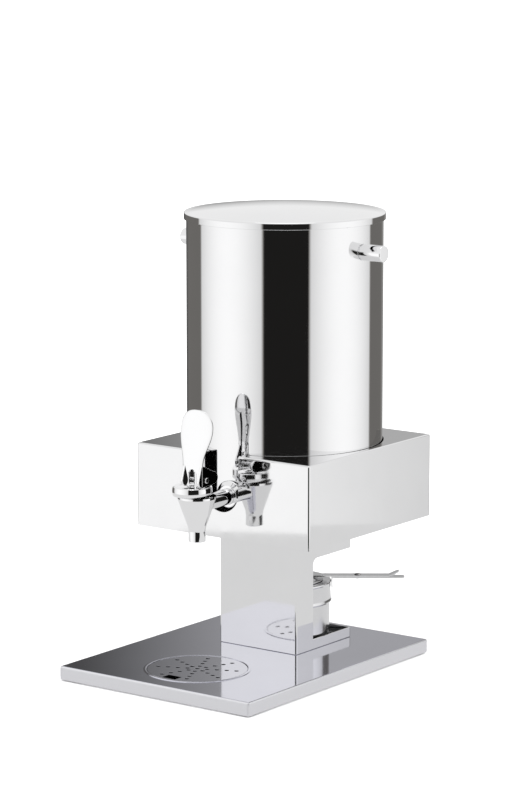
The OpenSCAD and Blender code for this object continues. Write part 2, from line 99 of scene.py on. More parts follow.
def rounded(points, steps=5):
    """A closed outline whose corners are rounded: each point is (x, y) or (x, y, radius)."""
    out = []
    n = len(points)
    for i, point in enumerate(points):
        p = Vector(point[:2])
        r = point[2] if len(point) > 2 else 0
        if r <= 0:
            out.append(tuple(p))
            continue
        a = (Vector(points[i - 1][:2]) - p)
        b = (Vector(points[(i + 1) % n][:2]) - p)
        room = min(a.length, b.length) * 0.49
        a.normalize()
        b.normalize()
        half = math.acos(max(-1, min(1, a.dot(b)))) / 2
        back = min(r / math.tan(half), room)
        r = back * math.tan(half)
        middle = p + (a + b).normalized() * (r / math.sin(half))
        start = (p + a * back) - middle
        end = (p + b * back) - middle
        turn = math.atan2(start.x * end.y - start.y * end.x, start.dot(end))
        for k in range(steps + 1):
            t = turn * k / steps
            out.append((middle.x + start.x * math.cos(t) - start.y * math.sin(t),
                        middle.y + start.x * math.sin(t) + start.y * math.cos(t)))
    return out


def half_round(rx, ry, middle, steps, start=0.0):
    """Half an ellipse round (0, middle), from the angle start on."""
    turns = [start + math.pi * k / steps for k in range(steps + 1)]
    return [(rx * math.cos(a), middle + ry * math.sin(a)) for a in turns]


def new_object(name, mesh):
    o = bpy.data.objects.new(name, mesh)
    scene.collection.objects.link(o)
    return o


def from_bmesh(name, bm):
    bmesh.ops.recalc_face_normals(bm, faces=bm.faces)
    mesh = bpy.data.meshes.new(name)
    bm.to_mesh(mesh)
    bm.free()
    return new_object(name, mesh)


def lathe(name, outline, segments=160, at=(0, 0, 0), toward=(0, 0, 1)):
    """Turns a closed outline of (radius, height) round an axis, in millimetres."""
    bm = bmesh.new()
    rings = []
    for r, z in outline:
        if r < 1e-5:
            rings.append([bm.verts.new((0, 0, z))])
        else:
            rings.append([bm.verts.new((r * math.cos(a), r * math.sin(a), z)) for a in
                          (2 * math.pi * k / segments for k in range(segments))])
    for a, b in zip(rings, rings[1:] + rings[:1]):
        if len(a) == 1 and len(b) == 1:
            continue
        for k in range(segments):
            j = (k + 1) % segments
            corners = ([a[0]] if len(a) == 1 else [a[k], a[j]]) + ([b[0]] if len(b) == 1 else [b[j], b[k]])
            bm.faces.new(corners)
    turn = Vector(toward).to_track_quat("Z", "Y").to_matrix().to_4x4()
    bm.transform(Matrix.Scale(MM, 4) @ Matrix.Translation(at) @ turn)
    return from_bmesh(name, bm)


def prism(name, outline, low, high, place=None):
    """A flat outline of (x, y) made thick from low to high along z, then placed."""
    bm = bmesh.new()
    below = [bm.verts.new((x, y, low)) for x, y in outline]
    above = [bm.verts.new((x, y, high)) for x, y in outline]
    bm.faces.new(below[::-1])
    bm.faces.new(above)
    n = len(outline)
    for k in range(n):
        j = (k + 1) % n
        bm.faces.new([below[k], below[j], above[j], above[k]])
    bm.transform(Matrix.Scale(MM, 4) @ (place or Matrix.Identity(4)))
    return from_bmesh(name, bm)


def block(name, low, high, radius=0.0, steps=3):
    """A box with rounded edges, from its lowest to its highest corner."""
    bm = bmesh.new()
    bmesh.ops.create_cube(bm, size=1)
    size, centre = Vector(high) - Vector(low), (Vector(high) + Vector(low)) / 2
    bm.transform(Matrix.Translation(centre) @ Matrix.Diagonal((*size, 1)))
    if radius:
        bmesh.ops.bevel(bm, geom=bm.edges[:], offset=radius, offset_type="OFFSET", segments=steps,
                        profile=0.5, affect="EDGES")
    bm.transform(Matrix.Scale(MM, 4))
    return from_bmesh(name, bm)


def settled(o):
    """The object's mesh with its modifiers applied."""
    graph = bpy.context.evaluated_depsgraph_get()
    mesh = bpy.data.meshes.new_from_object(o.evaluated_get(graph))
    o.modifiers.clear()
    old, o.data = o.data, mesh
    bpy.data.meshes.remove(old)
    return o


def combine(o, others, operation="DIFFERENCE"):
    for other in others:
        m = o.modifiers.new("combine", "BOOLEAN")
        m.operation, m.solver, m.object = operation, "EXACT", other
        settled(o)
        mesh = other.data
        bpy.data.objects.remove(other)
        bpy.data.meshes.remove(mesh)
    return o


def soften(o, width, steps=2, angle=35):
    m = o.modifiers.new("soften", "BEVEL")
    m.width, m.segments, m.limit_method, m.angle_limit = width * MM, steps, "ANGLE", math.radians(angle)
    m.use_clamp_overlap = True
    return settled(o)


def shade(o, angle=32):
    o.data.shade_smooth()
    o.data.set_sharp_from_angle(angle=math.radians(angle))
    m = o.modifiers.new("normals", "WEIGHTED_NORMAL")
    m.keep_sharp, m.weight = True, 90
    return o


def finish_piece(o, body, slot, material, *nodes, angle=32):
    shade(o, angle)
    o.data.materials.clear()
    o.data.materials.append(material)
    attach(o, body)
    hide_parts(*nodes)
    return o


# ---------------------------------------------------------------- materials

def metal(name, colour, roughness, *, tone=0.03, smear=0.03, wave=0.0, wave_size=6.0, lines=0.0,
          stretch=(1, 1, 60), line_size=900.0, metallic=1.0):
    """Steel: base colour and roughness vary softly, with polish lines and a slight wave in the sheet."""
    m = bpy.data.materials.new(name)
    m.use_nodes = True
    tree = m.node_tree
    tree.nodes.clear()
    add, link = tree.nodes.new, tree.links.new
    out = add("ShaderNodeOutputMaterial")
    shader = add("ShaderNodeBsdfPrincipled")
    link(shader.outputs[0], out.inputs[0])
    shader.inputs["Metallic"].default_value = metallic
    where = add("ShaderNodeTexCoord").outputs["Object"]

    def noise(scale, detail, stretched=None, rough=0.5):
        vector = where
        if stretched:
            mapping = add("ShaderNodeMapping")
            mapping.inputs["Scale"].default_value = stretched
            link(where, mapping.inputs[0])
            vector = mapping.outputs[0]
        n = add("ShaderNodeTexNoise")
        n.inputs["Scale"].default_value = scale
        n.inputs["Detail"].default_value = detail
        n.inputs["Roughness"].default_value = rough
        link(vector, n.inputs["Vector"])
        return n.outputs[0]

    def spread(value, low, high, start=0.3, end=0.7):
        r = add("ShaderNodeMapRange")
        r.inputs["From Min"].default_value, r.inputs["From Max"].default_value = start, end
        r.inputs["To Min"].default_value, r.inputs["To Max"].default_value = low, high
        link(value, r.inputs["Value"])
        return r.outputs[0]

    cloud = noise(14, 4, rough=0.6)
    ramp = add("ShaderNodeValToRGB")
    ramp.color_ramp.elements[0].position, ramp.color_ramp.elements[1].position = 0.3, 0.7
    ramp.color_ramp.elements[0].color = (*[c * (1 - tone) for c in colour], 1)
    ramp.color_ramp.elements[1].color = (*[min(1, c * (1 + tone)) for c in colour], 1)
    link(cloud, ramp.inputs[0])
    link(ramp.outputs[0], shader.inputs["Base Color"])
    smudge = noise(38, 5, rough=0.65)
    link(spread(smudge, max(0.01, roughness - smear / 2), roughness + smear), shader.inputs["Roughness"])
    normal = None
    for strength, height in ((wave, noise(wave_size, 1)), (lines, noise(line_size, 2, stretch))):
        if strength:
            bump = add("ShaderNodeBump")
            bump.inputs["Strength"].default_value = 1.0
            bump.inputs["Distance"].default_value = strength * MM
            link(height, bump.inputs["Height"])
            if normal:
                link(normal, bump.inputs["Normal"])
            normal = bump.outputs[0]
    if normal:
        link(normal, shader.inputs["Normal"])
    return m


def soft(name, colour, roughness, grain=300.0, depth=0.05, spread=0.15):
    """Rubber, silicone and fibre: mottled colour and a fine grain."""
    m = bpy.data.materials.new(name)
    m.use_nodes = True
    tree = m.node_tree
    add, link = tree.nodes.new, tree.links.new
    shader = tree.nodes["Principled BSDF"]
    where = add("ShaderNodeTexCoord").outputs["Object"]
    n = add("ShaderNodeTexNoise")
    n.inputs["Scale"].default_value, n.inputs["Detail"].default_value = grain, 4
    link(where, n.inputs["Vector"])
    ramp = add("ShaderNodeValToRGB")
    ramp.color_ramp.elements[0].position, ramp.color_ramp.elements[1].position = 0.3, 0.7
    ramp.color_ramp.elements[0].color = (*[c * (1 - spread) for c in colour], 1)
    ramp.color_ramp.elements[1].color = (*[min(1, c * (1 + spread)) for c in colour], 1)
    link(n.outputs[0], ramp.inputs[0])
    link(ramp.outputs[0], shader.inputs["Base Color"])
    r = add("ShaderNodeMapRange")
    r.inputs["To Min"].default_value, r.inputs["To Max"].default_value = roughness - 0.08, roughness + 0.08
    link(n.outputs[0], r.inputs["Value"])
    link(r.outputs[0], shader.inputs["Roughness"])
    bump = add("ShaderNodeBump")
    bump.inputs["Strength"].default_value = 1.0
    bump.inputs["Distance"].default_value = depth * MM
    link(n.outputs[0], bump.inputs["Height"])
    link(bump.outputs[0], shader.inputs["Normal"])
    return m


STEEL = (0.86, 0.86, 0.865)
mirror = metal("mirror_steel", STEEL, 0.03, tone=0.012, smear=0.03, wave=0.02, wave_size=5, lines=0.0006)
sheet_mirror = metal("sheet_mirror", (0.83, 0.83, 0.835), 0.045, tone=0.015, smear=0.04, wave=0.05,
                     wave_size=5, lines=0.0008)
base_mirror = metal("base_mirror", (0.67, 0.67, 0.74), 0.06, tone=0.02, smear=0.05, wave=0.05,
                    wave_size=6, lines=0.001)
grate_mirror = metal("grate_mirror", (0.65, 0.65, 0.71), 0.07, tone=0.02, smear=0.05, wave=0.01,
                     wave_size=8, lines=0.001)
# Painted shade: near-black steel for the drip bowl below the grate, in place of the shade under it.
bowl_painted_shade = metal("bowl_inside_painted_shade", (0.035, 0.035, 0.037), 0.40, tone=0.08, smear=0.1, lines=0.002)
satin = metal("satin_skirt", (0.79, 0.79, 0.82), 0.29, tone=0.006, smear=0.012, lines=0.0004,
              line_size=45, stretch=(1, 1, 70))
plain = metal("plain_steel", (0.60, 0.60, 0.61), 0.32, tone=0.06, smear=0.12, lines=0.004, stretch=(1, 1, 1))
# Painted shade: steel darker than plain steel for the insides of the column and housing, the housing floor and the
# burner dish.
inside = metal("inner_steel_painted_shade", (0.34, 0.34, 0.35), 0.35, tone=0.08, smear=0.12, lines=0.004, stretch=(1, 30, 1))
lining = metal("satin_inside", (0.66, 0.66, 0.67), 0.30, tone=0.04, smear=0.08, lines=0.002,
               stretch=(1, 1, 40), metallic=0.8)
chrome = metal("polished_chrome", (0.90, 0.90, 0.905), 0.02, tone=0.01, smear=0.025, wave=0.004, wave_size=40)
rolled = metal("burner_steel", (0.76, 0.76, 0.77), 0.14, tone=0.02, smear=0.04, wave=0.012,
               wave_size=24, lines=0.0007, stretch=(1, 1, 50))
# Painted reflection: near-black chrome that stands in for the dark the fork cheeks reflect.
cheek_painted_reflection = metal("chrome_painted_reflection", (0.035, 0.034, 0.033), 0.09, tone=0.04, smear=0.03, wave=0.004, wave_size=40)
scorched = metal("scorched_steel", (0.52, 0.51, 0.50), 0.24, tone=0.12, smear=0.15, wave=0.03,
                 wave_size=30, lines=0.003)
spring_wire = metal("spring_steel", (0.55, 0.55, 0.57), 0.25, tone=0.06, smear=0.1, lines=0.003)
rubber = soft("black_rubber", (0.022, 0.022, 0.023), 0.6, grain=500, depth=0.04)
silicone = soft("pale_silicone", (0.72, 0.70, 0.65), 0.45, grain=200, depth=0.02, spread=0.05)
fibre = soft("fuel_fibre", (0.70, 0.65, 0.53), 0.85, grain=700, depth=0.5, spread=0.25)

# ---------------------------------------------------------------- base

SHEET = 1.2
base_lo, base_hi = lo("base_plate"), hi("base_plate")
grate_r = (hi("drip_grate").x - lo("drip_grate").x) / 2
hole_r = grate_r + 1.5
HAIR = Vector((0.002, 0.002, 0.002))
base = block("base_skin", base_lo + HAIR, base_hi - HAIR, 2.0, 6)
cutters = [
    block("cut", (base_lo.x + SHEET, base_lo.y + SHEET, base_lo.z - 5),
          (base_hi.x - SHEET, base_hi.y - SHEET, base_hi.z - SHEET), 0.6),
    lathe("cut", [(0, 0), (hole_r, 0), (hole_r, 30), (0, 30)], 128, (0, grate_y, 0))]
combine(base, cutters)
# The corner seams of the folded skirt: a shallow slit by each upright edge.
SEAM_IN, SEAM_HALF, SEAM_DEEP = 2.1, 0.12, 0.35
for sx in (-1, 1):
    for sy in (-1, 1):
        x = base_lo.x if sx < 0 else base_hi.x
        y = base_lo.y if sy < 0 else base_hi.y
        deep = y - sy * SEAM_DEEP
        combine(base, [block("cut", (x - sx * SEAM_IN - SEAM_HALF, min(y, deep) - 0.01, -1),
                             (x - sx * SEAM_IN + SEAM_HALF, max(y, deep) + 0.01, base_hi.z - 1.6))])
finish_piece(base, "stand", "base_steel", base_mirror, "base_plate")
base.data.materials.append(satin)
for face in base.data.polygons:
    if abs(face.normal.z) < 0.8 or face.center.z < (base_hi.z - 0.5) * MM:
        face.material_index = 1

# ---------------------------------------------------------------- drip tray

bowl_lo, bowl_hi = lo("drip_bowl"), hi("drip_bowl")
bowl_rim = (bowl_hi.x - bowl_lo.x) / 2
bowl_r = grate_r - 5
step = lo("drip_grate").z
bead_r = (bowl_rim - grate_r - 0.3) / 2
bead = [(bowl_rim - bead_r + x, z) for x, z in half_round(bead_r, bowl_hi.z - base_top - 0.1, base_top + 0.1, 12)]
bowl = lathe("drip_bowl_skin", rounded([
    (0, bowl_lo.z), (bowl_r - 3, bowl_lo.z, 3), (bowl_r, bowl_lo.z + 3, 2), (bowl_r, step - 0.8, 0.6),
    (grate_r + 1.1, step - 0.8, 0.4), (grate_r + 1.1, base_top), (bowl_rim, base_top),
    *bead, (grate_r + 0.3, step),
    (bowl_r - 0.8, step, 0.5), (bowl_r - 0.8, bowl_lo.z + 3.4, 2), (bowl_r - 3.4, bowl_lo.z + 0.8, 3),
    (0, bowl_lo.z + 0.8)]), 192, (0, grate_y, 0))
finish_piece(bowl, "bowl", "mirror_steel", base_mirror, "drip_bowl")
bowl.data.materials.append(bowl_painted_shade)
# The bowl below the grate's step takes the near-black painted shade.
for face in bowl.data.polygons:
    if face.center.z < (step + 0.5) * MM:
        face.material_index = 1

HOLE_R = 2.35
RAYS, HOLES = 8, 4
grate_lo, grate_hi = lo("drip_grate"), hi("drip_grate")
grate = lathe("drip_grate_skin", rounded([
    (0, grate_lo.z), (grate_r, grate_lo.z, 0.3), (grate_r, grate_hi.z, 0.7), (0, grate_hi.z)], 4), 192, (0, grate_y, 0))
drills = [(0, 0)]
for ray in range(RAYS):
    angle = math.radians((ray + 0.5) * 360 / RAYS)
    drills += [(grate_r * 0.2 * i * math.cos(angle), grate_r * 0.2 * i * math.sin(angle)) for i in range(1, HOLES + 1)]
bm = bmesh.new()
for x, y in drills:
    outline = [(0, -2), (HOLE_R, -2), (HOLE_R, grate_hi.z - 0.12), (HOLE_R + 0.2, grate_hi.z + 0.08),
               (HOLE_R + 0.2, 40), (0, 40)]
    o = lathe("cut", outline, 32, (x, grate_y + y, 0))
    bm.from_mesh(o.data)
    mesh = o.data
    bpy.data.objects.remove(o)
    bpy.data.meshes.remove(mesh)
combine(grate, [from_bmesh("cut", bm)])
NOTCH_W, NOTCH_L, NOTCH_AT = 17, 12, 43.5
combine(grate, [block("cut", (-NOTCH_W / 2, grate_y - NOTCH_AT - NOTCH_L / 2, 0),
                      (NOTCH_W / 2, grate_y - NOTCH_AT + NOTCH_L / 2, 30), 0.8, 3)])
finish_piece(grate, "grate", "mirror_steel", grate_mirror, "drip_grate", angle=25)

# ---------------------------------------------------------------- column

col_lo, col_hi = lo("column"), hi("column")
COLUMN_SHEET, STRIP, WINDOW_LOW, WINDOW_HIGH, WINDOW_CORNER, FLANGE = 1.5, 31, 27, 115.5, 7, 15
BEND_R = 2.5
column = prism("column_skin", rounded([
    (col_lo.x, col_lo.y, BEND_R), (col_hi.x, col_lo.y, BEND_R), (col_hi.x, col_hi.y, BEND_R),
    (col_lo.x, col_hi.y, BEND_R)], 8), col_lo.z, col_hi.z)
soften(column, 0.9, 3, 60)
in_lo = Vector((col_lo.x + COLUMN_SHEET, col_lo.y + COLUMN_SHEET, col_lo.z + COLUMN_SHEET))
in_hi = Vector((col_hi.x - COLUMN_SHEET, col_hi.y - COLUMN_SHEET, col_hi.z - COLUMN_SHEET))
window = rounded([(col_lo.y + STRIP, WINDOW_LOW), (col_hi.y + 20, WINDOW_LOW), (col_hi.y + 20, WINDOW_HIGH),
                  (col_lo.y + STRIP, WINDOW_HIGH, WINDOW_CORNER)], 10)
sideways = Matrix(((0, 0, 1, 0), (1, 0, 0, 0), (0, 1, 0, 0), (0, 0, 0, 1)))
combine(column, [
    block("cut", in_lo, in_hi, 0.4),
    block("cut", (in_lo.x + FLANGE, in_lo.y + FLANGE, col_lo.z - 5),
          (in_hi.x - FLANGE, in_hi.y - FLANGE, col_hi.z + 5)),
    prism("cut", window, -80, 80, sideways)])
soften(column, 0.3, 2, 50)
finish_piece(column, "stand", "mirror_steel", sheet_mirror, "column")
column.data.materials.append(inside)
# Inside faces towards the front take the darker steel, a painted shade.
for face in column.data.polygons:
    c = face.center / MM
    inner = all(in_lo[i] - 0.2 < c[i] < in_hi[i] + 0.2 for i in range(3))
    if inner and face.center.y < (col_lo.y + STRIP + 60) * MM:
        face.material_index = 1

# ---------------------------------------------------------------- housing

box_lo, box_hi = lo("housing_shell"), hi("housing_shell")
HOUSING_SHEET, SLOT_R, SLOT_UP = 1.2, 22, 5
hole = container_r + 1.2
housing = block("housing_skin", (box_lo.x, box_lo.y, box_lo.z - 30), box_hi, 2.2, 6)
arch = half_round(SLOT_R, SLOT_R, pipe_z + SLOT_UP, 48, math.pi)
slot_outline = arch + [(SLOT_R, box_hi.z + 20), (-SLOT_R, box_hi.z + 20)]
upright = Matrix(((1, 0, 0, 0), (0, 0, 1, 0), (0, 1, 0, 0), (0, 0, 0, 1)))
combine(housing, [
    block("cut", (box_lo.x - 5, box_lo.y - 5, box_lo.z - 60), (box_hi.x + 5, box_hi.y + 5, box_lo.z)),
    block("cut", (box_lo.x + HOUSING_SHEET, box_lo.y + HOUSING_SHEET, box_lo.z - 60),
          (box_hi.x - HOUSING_SHEET, box_hi.y - HOUSING_SHEET, box_hi.z - HOUSING_SHEET), 0.5),
    lathe("cut", [(0, box_hi.z - 10), (hole, box_hi.z - 10), (hole, box_hi.z + 10), (0, box_hi.z + 10)],
          192, (0, axis_y, 0)),
    prism("cut", slot_outline, box_lo.y - 10, axis_y - container_r + 3, upright)])
soften(housing, 0.25, 2, 50)
finish_piece(housing, "stand", "mirror_steel", sheet_mirror, "housing_shell")
housing.data.materials.append(inside)
# Faces inside the housing take the darker steel, a painted shade.
for face in housing.data.polygons:
    c = face.center / MM
    if (box_lo.x + 1 < c.x < box_hi.x - 1 and box_lo.y + 1 < c.y < box_hi.y - 1 and c.z < box_hi.z - 1):
        face.material_index = 1

# ---------------------------------------------------------------- container and lid

CORNER, WALL = 5, 1
shell_lo = lo("container_shell").z
container = lathe("container_skin", rounded([
    (0, shell_lo), (container_r, shell_lo, CORNER), (container_r, rim_z - 12), (container_r, rim_z, 1.0),
    (container_r - 3.2, rim_z, 0.9), (container_r - 3.2, rim_z - 2.6, 0.6), (container_r - WALL, rim_z - 5, 0.8),
    (container_r - WALL, shell_lo + 8), (container_r - WALL, shell_lo + WALL, CORNER - WALL), (0, shell_lo + WALL)],
    8), 384, (0, axis_y, 0))
finish_piece(container, "container", "mirror_steel", mirror, "container_shell")
container.data.materials.append(lining)
for face in container.data.polygons:
    c = face.center / MM
    if math.hypot(c.x, c.y - axis_y) < container_r - WALL + 0.1 and c.z > shell_lo + 0.5 and c.z < rim_z - 5:
        face.material_index = 1

lid_lo, lid_hi = lo("lid"), hi("lid")
lid_r = (lid_hi.x - lid_lo.x) / 2
LID_SHEET = 1.0
rise = lid_hi.z - rim_z - 1.6
edge_z = rim_z + 1.6
sphere = (lid_r ** 2 + rise ** 2) / (2 * rise)


def dome(r):
    return math.sqrt(sphere ** 2 - r ** 2) - (sphere - rise)


outer = [(lid_r * k / 40, edge_z + dome(lid_r * k / 40)) for k in range(39)]
inner = [(r, edge_z - LID_SHEET - 0.2 + dome(r)) for r in ((lid_r - 2.2) * (1 - k / 20) for k in range(21))]
band = rounded([outer[-1], (lid_r, edge_z + 0.5, 1.3), (lid_r, lid_lo.z, 0.45), (lid_r - LID_SHEET, lid_lo.z, 0.4),
                (lid_r - LID_SHEET, edge_z - 1.2, 0.5), inner[0]], 8)
lid = lathe("lid_skin", outer[:-1] + band + inner[1:], 384, (0, axis_y, 0))
finish_piece(lid, "lid", "mirror_steel", mirror, "lid")

# ---------------------------------------------------------------- peg handles

for side, node in ((1, "right_handle"), (-1, "left_handle")):
    peg_r = (hi(node).z - lo(node).z) / 2
    reach = hi(node).x if side > 0 else -lo(node).x
    start = container_r - 0.6
    outline = rounded([(0, 0), (peg_r - 1.0, 0), (peg_r - 1.0, 1.4, 0.3), (peg_r, 1.4, 0.4),
                       (peg_r, reach - start, 1.1), (0, reach - start)], 6)
    peg = lathe(node + "_skin", outline, 96, (side * start, mid(node).y, mid(node).z), (side, 0, 0))
    finish_piece(peg, "container", "polished_chrome", chrome, node)

# ---------------------------------------------------------------- tap

spout_lo = lo("tap_body").z
collar_lo, collar_hi = lo("tap_bonnet").z, hi("tap_bonnet").z
collar_r = (hi("tap_bonnet").x - lo("tap_bonnet").x) / 2
SPOUT_R, SEAT_R, BORE_R = 9.1, 11.5, 6
seat_z = lo("seat_cup").z
taper = seat_z - 14.5
body_outline = rounded([
    (BORE_R, spout_lo, 0.4), (SPOUT_R, spout_lo, 0.7), (SPOUT_R, taper, 22), (collar_r - 0.9, collar_lo - 2.4, 2.2),
    (collar_r - 0.9, collar_lo), (17.5, collar_lo), (SEAT_R, seat_z, 1.5), (BORE_R, seat_z, 0.6)], 14)
tap_body = lathe("tap_body_skin", body_outline, 160, (tap_x, tap_y, 0))
shank_lo, shank_hi = lo("tap_shank"), hi("tap_shank")
pipe_r = (shank_hi.z - shank_lo.z) / 2
socket = lathe("cut", [(0, 0), (pipe_r, 0), (pipe_r, 30), (0, 30)], 96, (tap_x, shank_lo.y, pipe_z), (0, 1, 0))
combine(tap_body, [socket])
finish_piece(tap_body, "container", "polished_chrome", chrome, "tap_body", angle=30)

STEM_R = 3.08
BULGE = 0.55
collar_mid = (collar_lo + collar_hi) / 2
barrel = [(collar_r - BULGE * (k / 6) ** 2, collar_mid + k * 0.7) for k in range(-6, 7)]
barrel.append((collar_r - 1.9, collar_hi, 0.8))
bonnet = lathe("tap_bonnet_skin", rounded([
    (STEM_R, collar_hi - 3.5), (8.5, collar_hi - 3.5, 0.5), (8.5, collar_lo), (collar_r - 1.2, collar_lo, 0.3),
    *barrel, (14, collar_hi, 2), (12.5, collar_hi - 0.7, 1.2),
    (6.0, collar_hi - 0.7, 1.2), (5.0, collar_hi, 0.6), (STEM_R, collar_hi, 0.3)], 6), 160, (0, tap_y, 0))
finish_piece(bonnet, "container", "polished_chrome", chrome, "tap_bonnet")

BORE = 5
pipe = lathe("tap_pipe", rounded([
    (BORE, 0, 0.3), (pipe_r, 0), (pipe_r, shank_hi.y - shank_lo.y, 0.8), (BORE, shank_hi.y - shank_lo.y, 0.3)], 4),
    112, (tap_x, shank_lo.y, pipe_z), (0, 1, 0))
finish_piece(pipe, "container", "polished_chrome", chrome, "tap_shank")

flange_lo, flange_hi = lo("tap_flange"), hi("tap_flange")
flange_r = (flange_hi.x - flange_lo.x) / 2
thick = flange_hi.y - flange_lo.y
flange = lathe("tap_flange_skin", rounded([
    (pipe_r, 0), (flange_r, 0, 0.4), (flange_r, thick * 0.4, 1.2), (flange_r - 4, thick * 0.86, 6),
    (pipe_r + 3, thick, 1.5), (pipe_r + 0.02, thick, 0.4)], 8), 128, (tap_x, flange_hi.y, pipe_z), (0, -1, 0))
finish_piece(flange, "container", "polished_chrome", chrome, "tap_flange")

stem_lo, stem_hi = lo("valve_stem").z, hi("valve_stem").z
stem = lathe("valve_stem_skin", rounded([
    (0, stem_lo), (4.6, stem_lo, 0.3), (4.6, stem_lo + 2, 0.3), (3, stem_lo + 2), (3, stem_hi - 2, 0.4),
    (4, stem_hi - 2, 0.3), (4, stem_hi, 0.7), (0, stem_hi)], 5), 64, (tap_x, tap_y, 0))
finish_piece(stem, "stem", "plain_steel", chrome, "valve_stem")


def coil(name, r, wire, low, high, turns, at, steps=40, sides=12):
    """A round wire of radius wire, wound at radius r from low to high."""
    bm = bmesh.new()
    rows = []
    for k in range(turns * steps + 1):
        a = 2 * math.pi * k / steps
        z = low + (high - low) * k / (turns * steps)
        row = []
        for i in range(sides):
            b = 2 * math.pi * i / sides
            out = r + wire * math.cos(b)
            row.append(bm.verts.new((out * math.cos(a), out * math.sin(a), z + wire * math.sin(b))))
        rows.append(row)
    for a, b in zip(rows, rows[1:]):
        for i in range(sides):
            j = (i + 1) % sides
            bm.faces.new([a[i], a[j], b[j], b[i]])
    bm.faces.new(rows[0][::-1])
    bm.faces.new(rows[-1])
    bm.transform(Matrix.Scale(MM, 4) @ Matrix.Translation(at))
    return from_bmesh(name, bm)


WIRE, WIRE_ROOM = 0.68, 0.72
spring_lo, spring_hi = lo("valve_spring"), hi("valve_spring")
spring_r = (spring_hi.x - spring_lo.x) / 2 - WIRE_ROOM
spring = coil("valve_spring_skin", spring_r, WIRE, spring_lo.z + WIRE_ROOM, spring_hi.z - WIRE_ROOM, 4,
              (tap_x, tap_y, 0))
finish_piece(spring, "container", "plain_steel", spring_wire, "valve_spring")
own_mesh(spring)

# ---------------------------------------------------------------- lever

pivot_z = mid("lever_pin").z
lever_lo, lever_hi = lo("lever"), hi("lever")
paddle_r = (lever_hi.x - lever_lo.x) / 2 - 0.15
fork_r, FORK_T = 12.2, 3.0
paddle_mid = lever_hi.z - paddle_r - 0.2
paddle_low = pivot_z + 16
WAIST, CROWN, BLADE_HALF = 13.2, 2.4, 1.28


def half_width(z):
    if z >= paddle_mid:
        return paddle_r * max(0, 1 - (max(0, z - paddle_mid) / paddle_r) ** CROWN) ** (1 / CROWN)
    t = (paddle_mid - z) / (paddle_mid - paddle_low)
    return WAIST + (paddle_r - WAIST) * (0.5 + 0.5 * math.cos(math.pi * min(1, t)))


def lean(z):
    t = min(1, max(0, (z - paddle_low) / 46))
    return -6.2 + 7.6 * (0.5 - 0.5 * math.cos(math.pi * t))


def paddle_mesh():
    """The paddle: a thin, slightly crowned blade whose outline is the half width, closed round its edge."""
    low = pivot_z - 5.5
    levels = [low + (paddle_mid - low) * k / 28 for k in range(28)]
    levels += [paddle_mid + paddle_r * math.sin(math.radians(a)) for a in range(0, 90, 6)]
    levels += [paddle_mid + paddle_r * math.sin(math.radians(a)) for a in (87, 89)]
    across = [math.cos(math.radians(a)) for a in range(0, 181, 12)]
    bm = bmesh.new()
    rows = []
    for z in levels:
        w = half_width(max(z, paddle_low))
        loop = []
        for sign in (1, -1):
            for u in (across if sign > 0 else across[-2:0:-1]):
                edge = (1 - abs(u) ** 4) ** 0.5
                thin = min(1.0, 0.35 + w / 9)
                y = sign * BLADE_HALF * edge * thin
                loop.append(bm.verts.new((w * u, lean(z) - y, z)))
        rows.append(loop)
    n = len(rows[0])
    for a, b in zip(rows, rows[1:]):
        for k in range(n):
            bm.faces.new([a[k], a[(k + 1) % n], b[(k + 1) % n], b[k]])
    bm.faces.new(rows[0][::-1])
    bm.faces.new(rows[-1])
    bm.transform(Matrix.Scale(MM, 4) @ Matrix.Translation((tap_x, tap_y, 0)))
    return from_bmesh("lever_skin", bm)


def hull_outline(circles, steps=40):
    """The outline round several circles (x, y, radius)."""
    points = [(x + r * math.cos(2 * math.pi * k / steps), y + r * math.sin(2 * math.pi * k / steps))
              for x, y, r in circles for k in range(steps)]
    points = sorted(set(points))

    def cross(o, a, b):
        return (a[0] - o[0]) * (b[1] - o[1]) - (a[1] - o[1]) * (b[0] - o[0])

    def chain(ps):
        out = []
        for p in ps:
            while len(out) > 1 and cross(out[-2], out[-1], p) <= 0:
                out.pop()
            out.append(p)
        return out[:-1]
    return chain(points) + chain(points[::-1])


lever = paddle_mesh()
cheek_outline = hull_outline([(-6, -1, 6.1), (14, 0.6, 6.3), (-5.6, 14, 1.9)])
for x in (-fork_r, fork_r - FORK_T):
    place = Matrix.Translation((tap_x + x, tap_y, pivot_z)) @ sideways
    cheek = prism("part", cheek_outline, 0, FORK_T, place)
    soften(cheek, 0.5, 3, 40)
    combine(lever, [cheek], "UNION")
SLOT_HALF, PLATE_BACK = 5.2, -4.9
at_pivot = Matrix.Translation((tap_x, tap_y, pivot_z)) @ upright
gap = fork_r - FORK_T
fork_gap = half_round(gap, 6, 9, 32) + [(-gap, -12), (gap, -12)]
slit = half_round(SLOT_HALF, SLOT_HALF, 6.5, 32) + [(-SLOT_HALF, -12), (SLOT_HALF, -12)]
combine(lever, [prism("cut", fork_gap, PLATE_BACK, 30, at_pivot), prism("cut", slit, -30, 30, at_pivot)])
pin = lathe("cut", [(0, -20), (1.5, -20), (1.5, 20), (0, 20)], 32, (tap_x, tap_y, pivot_z), (1, 0, 0))
combine(lever, [pin])
finish_piece(lever, "lever", "polished_chrome", chrome, "lever", angle=40)
lever.data.materials.append(cheek_painted_reflection)
# The outer flat faces of the fork cheeks take the near-black painted reflection.
for face in lever.data.polygons:
    c = face.center / MM
    if abs(face.normal.x) > 0.9 and abs(c.x - tap_x) > fork_r - 0.3 and c.z < paddle_low + 1:
        face.material_index = 1

